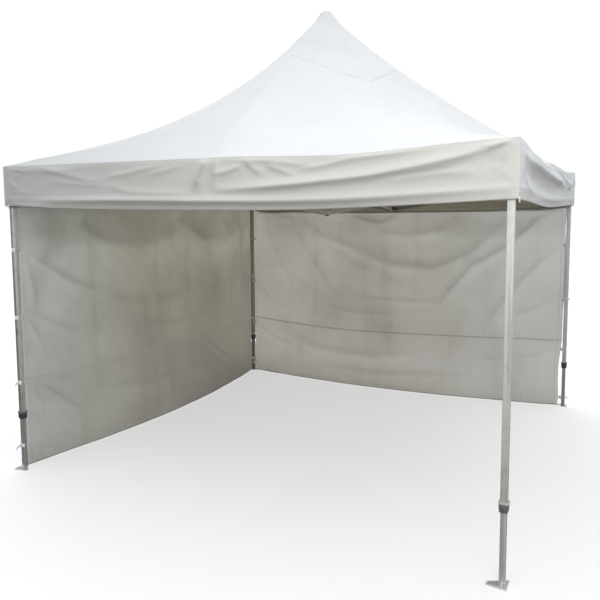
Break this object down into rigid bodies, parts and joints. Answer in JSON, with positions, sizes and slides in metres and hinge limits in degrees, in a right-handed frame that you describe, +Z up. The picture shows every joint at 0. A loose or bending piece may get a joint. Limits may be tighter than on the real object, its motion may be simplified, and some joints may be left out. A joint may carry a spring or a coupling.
{
  "type": "folding marquee tent",
  "caption": "Folding marquee tent: a square steel frame on telescopic legs, a peaked cloth roof with a valance, and cloth walls on the left and back, open at the front and right.",
  "frame": {"origin": "on the ground under the centre pole", "axes": "+Z up, the front is -Y and the right is +X, both open; the walls stand at -X and +Y"},
  "size_m": [2.96, 3.022, 2.95],
  "materials": {
    "canopy_cloth": "coated white polyester, slightly soiled",
    "wall_cloth": "coated white polyester, seen in shade",
    "painted_steel": "light grey powder coat, scuffed",
    "plated_steel": "dull galvanised",
    "grey_plastic": "moulded nylon, light grey",
    "black_plastic": "moulded nylon"
  },
  "bodies": {
    "tent": {"canopy": "canopy_cloth", "centre_pole": "painted_steel", "hub_lower": "grey_plastic", "hub_upper": "grey_plastic", "inner_truss_back": "painted_steel", "inner_truss_front": "painted_steel", "inner_truss_left": "painted_steel", "inner_truss_right": "painted_steel", "leg_collar_back_left": "black_plastic", "leg_collar_back_right": "black_plastic", "leg_collar_front_left": "black_plastic", "leg_collar_front_right": "black_plastic", "mid_connector_lower_back": "black_plastic", "mid_connector_lower_front": "black_plastic", "mid_connector_lower_left": "black_plastic", "mid_connector_lower_right": "black_plastic", "mid_connector_upper_back": "black_plastic", "mid_connector_upper_front": "black_plastic", "mid_connector_upper_left": "black_plastic", "mid_connector_upper_right": "black_plastic", "slider_bracket_back_left": "black_plastic", "slider_bracket_back_right": "black_plastic", "slider_bracket_front_left": "black_plastic", "slider_bracket_front_right": "black_plastic", "top_bracket_back_left": "black_plastic", "top_bracket_back_right": "black_plastic", "top_bracket_front_left": "black_plastic", "top_bracket_front_right": "black_plastic", "truss_back_left": "painted_steel", "truss_back_right": "painted_steel", "truss_front_left": "painted_steel", "truss_front_right": "painted_steel", "truss_left_back": "painted_steel", "truss_left_front": "painted_steel", "truss_right_back": "painted_steel", "truss_right_front": "painted_steel", "upper_leg_back_left": "painted_steel", "upper_leg_back_right": "painted_steel", "upper_leg_front_left": "painted_steel", "upper_leg_front_right": "painted_steel", "wall_back": "wall_cloth", "wall_left": "wall_cloth"},
    "leg_front_right": {"lower_leg_front_right": "plated_steel"},
    "leg_front_left": {"lower_leg_front_left": "plated_steel"},
    "leg_back_left": {"lower_leg_back_left": "plated_steel"},
    "leg_back_right": {"lower_leg_back_right": "plated_steel"}
  },
  "joints": [
    {"name": "extend_front_right", "type": "slide", "parent": "tent", "child": "leg_front_right", "axis": [0, 0, -1], "range_m": [0, 0.35]},
    {"name": "extend_front_left", "type": "slide", "parent": "tent", "child": "leg_front_left", "axis": [0, 0, -1], "range_m": [0, 0.35]},
    {"name": "extend_back_left", "type": "slide", "parent": "tent", "child": "leg_back_left", "axis": [0, 0, -1], "range_m": [0, 0.35]},
    {"name": "extend_back_right", "type": "slide", "parent": "tent", "child": "leg_back_right", "axis": [0, 0, -1], "range_m": [0, 0.35]}
  ]
}
